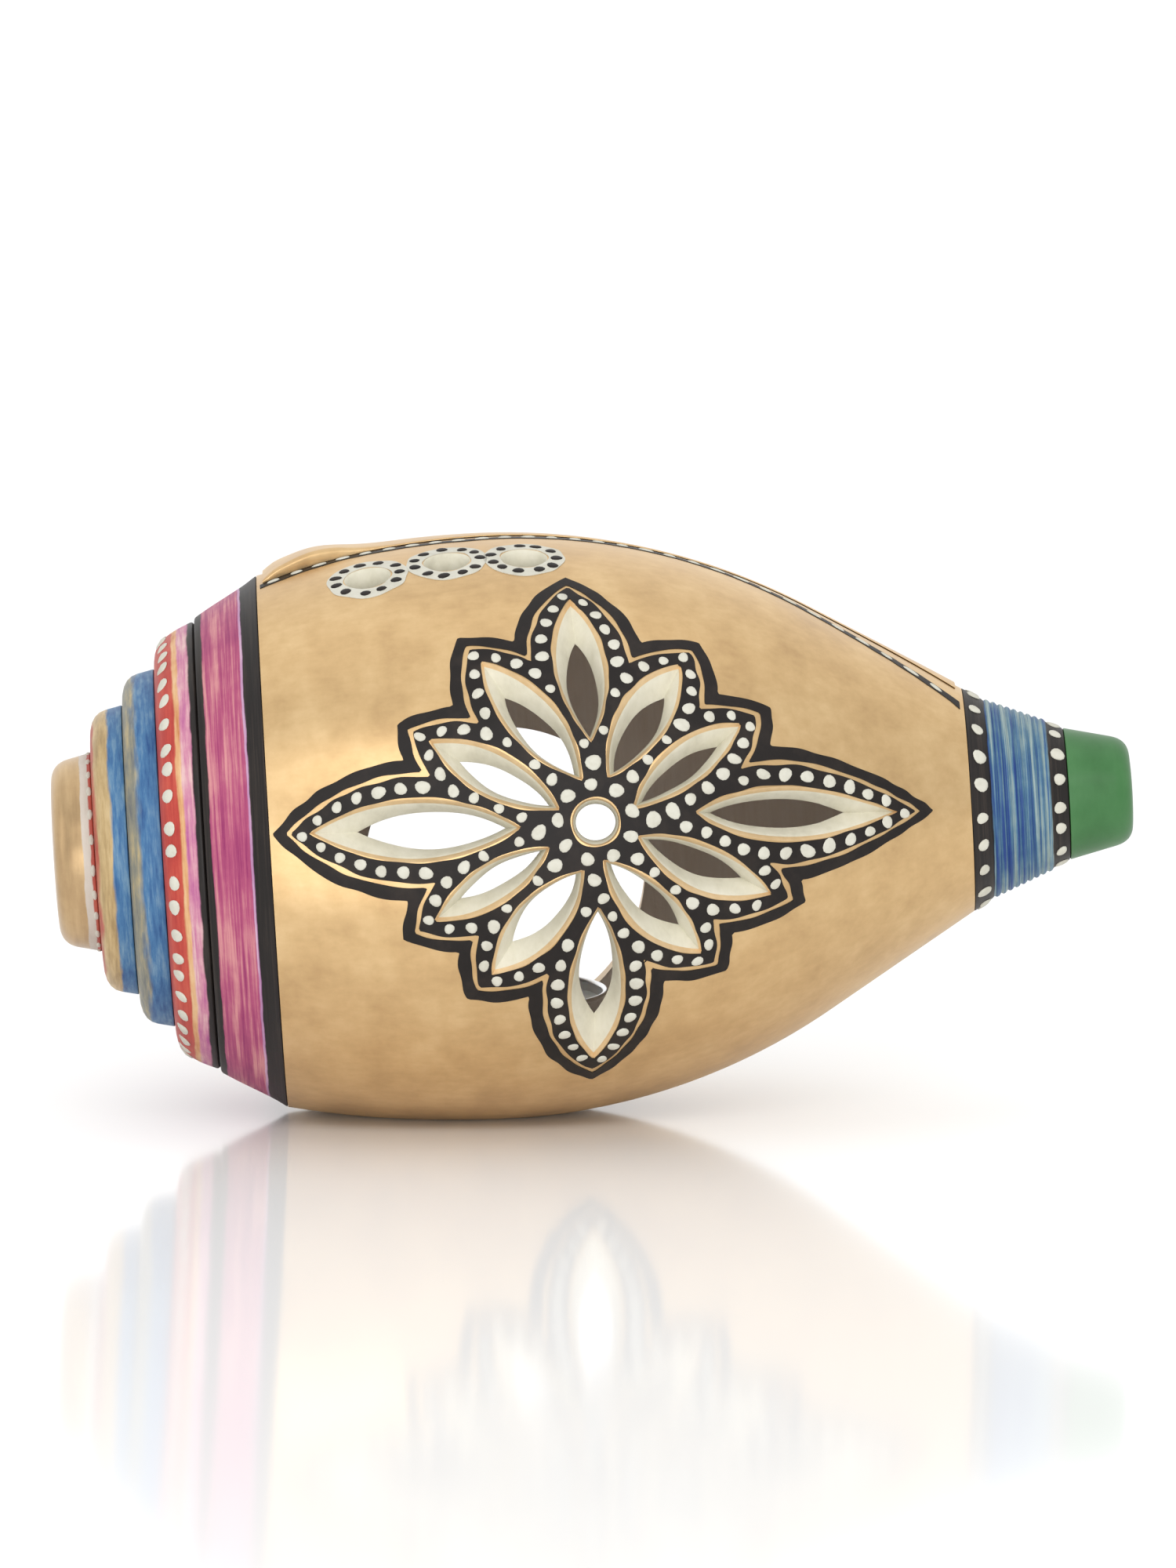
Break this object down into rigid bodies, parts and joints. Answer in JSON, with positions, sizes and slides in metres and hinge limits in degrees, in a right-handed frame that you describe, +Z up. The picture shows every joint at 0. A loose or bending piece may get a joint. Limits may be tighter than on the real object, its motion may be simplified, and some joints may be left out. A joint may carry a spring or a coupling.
{
  "type": "conch-shaped pierced oil lamp",
  "caption": "Hand-painted clay conch lamp lying on its side, with a pierced flower, stepped spire, ribbed neck, open back mouth and a tealight inside.",
  "frame": {"origin": "middle of the flattened rest under the body, on the table", "axes": "+X along the shell from the spire to the green tip, -Y out through the pierced flower, +Z up"},
  "size_m": [0.1908, 0.1034, 0.102],
  "materials": {
    "gold_clay": "gold paint over fired clay, satin",
    "lip_clay": "gold-tan paint over fired clay, satin",
    "magenta_clay": "brushed magenta paint, satin",
    "red_clay": "red paint with cream dots, satin",
    "blue_clay": "brushed blue paint, satin",
    "green_clay": "green paint, satin",
    "cup_foil": "pressed sheet",
    "wax": "white candle wax",
    "tab_tin": "tinned sheet",
    "wick_cotton": "braided cotton",
    "black_paint": "black outline paint, satin",
    "cream_paint": "cream paint, satin"
  },
  "bodies": {
    "shell": {"body_whorl": "gold_clay", "mouth_rim": "lip_clay", "outer_lip": "lip_clay", "shoulder_ring": "magenta_clay", "spire_whorl_large": "red_clay", "spire_whorl_middle": "blue_clay", "spire_whorl_small": "blue_clay", "apex_knob": "gold_clay", "neck": "blue_clay", "neck_tip": "green_clay"},
    "tealight": {"tealight_cup": "cup_foil", "tealight_wax": "wax", "wick_tab": "tab_tin", "wick": "wick_cotton"}
  },
  "joints": [
    {"name": "tealight_lift", "type": "slide", "parent": "shell", "child": "tealight", "axis": [0, 0.9063, 0.4226], "range_m": [0, 0.09]}
  ]
}
